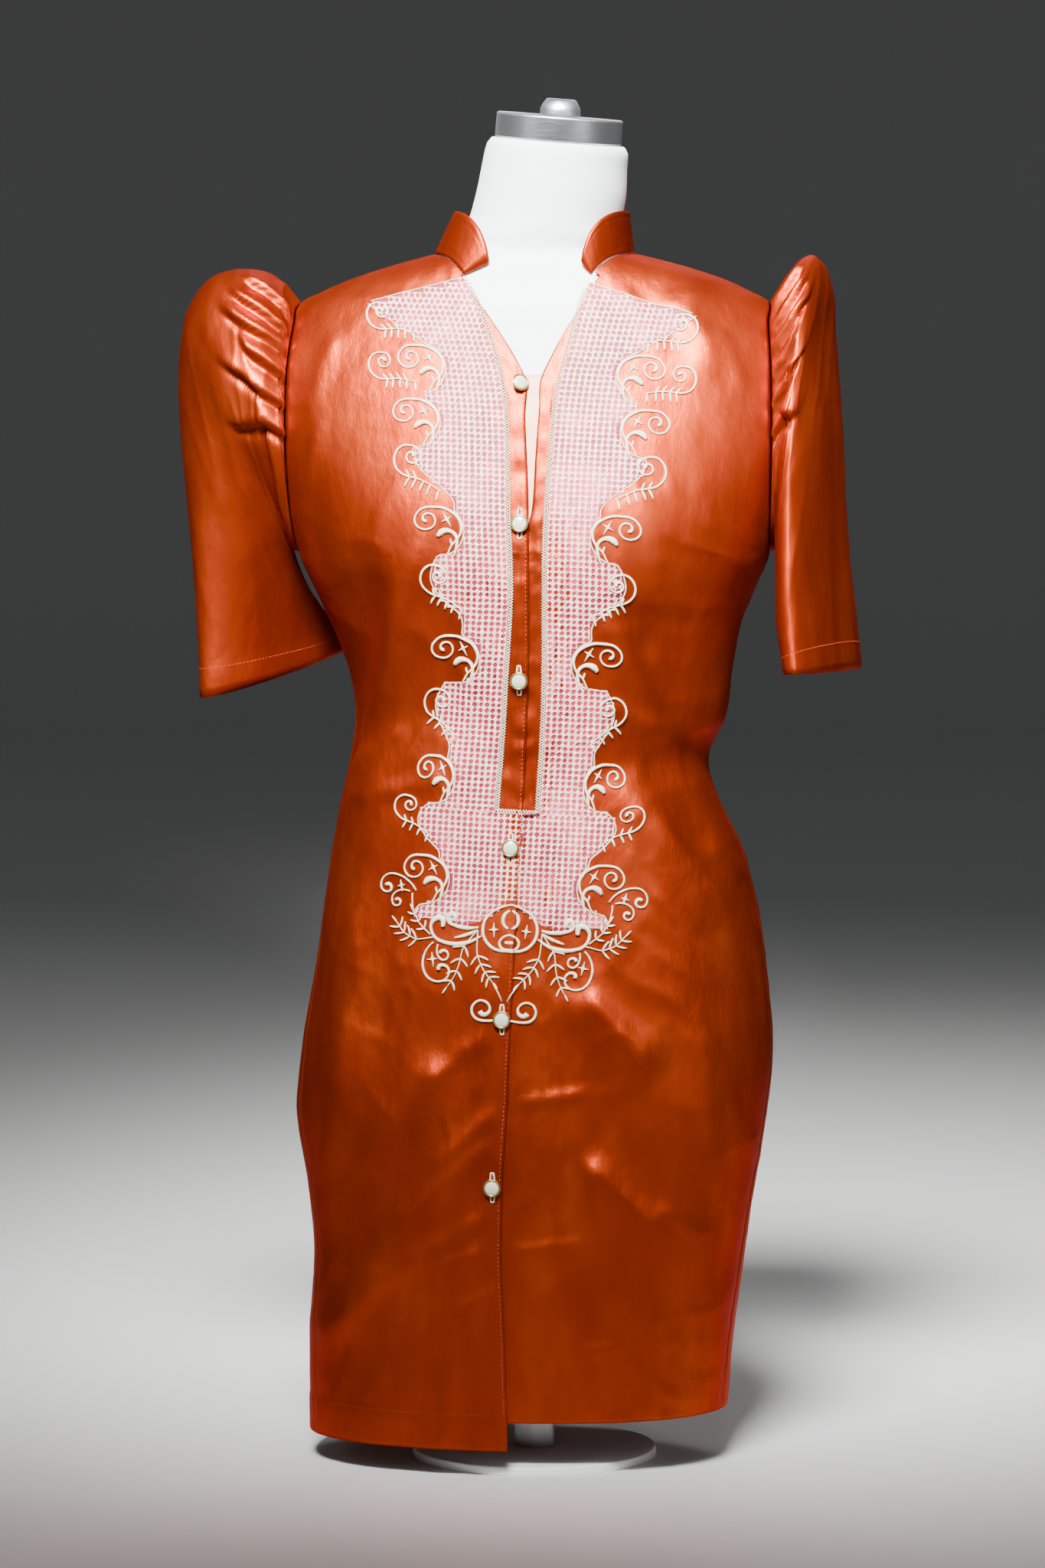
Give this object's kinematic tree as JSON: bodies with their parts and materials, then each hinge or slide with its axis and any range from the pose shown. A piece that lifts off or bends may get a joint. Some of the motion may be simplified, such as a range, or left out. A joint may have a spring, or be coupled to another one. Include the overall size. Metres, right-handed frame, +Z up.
{
  "type": "barong dress on a dress form",
  "caption": "Orange satin barong dress with a stand collar, V opening, pleated sleeves and pearl buttons, worn by a white limbless dress form.",
  "frame": {"origin": "centre of the base plate's underside, on the floor", "axes": "+Z up, -Y towards the front of the dress, +X towards the wearer's left"},
  "size_m": [0.5437, 0.2466, 1.0824],
  "materials": {
    "satin": "satin organza with a sheen",
    "underlap": "sheer single layer",
    "buttons": "pearly",
    "form": "matt knitted cover over a hard shell",
    "cap": "brushed",
    "pole": "brushed",
    "base": "smooth, pale grey"
  },
  "bodies": {
    "root": {"front_right": "satin", "front_left": "satin", "back": "satin", "sleeve_right": "satin", "sleeve_left": "satin", "collar": "satin", "underlap": "underlap", "button_1": "buttons", "button_2": "buttons", "button_3": "buttons", "button_4": "buttons", "button_5": "buttons", "button_6": "buttons", "form_torso": "form", "neck_cap": "cap", "cap_knob": "cap", "pole": "pole", "base_plate": "base"}
  },
  "joints": []
}
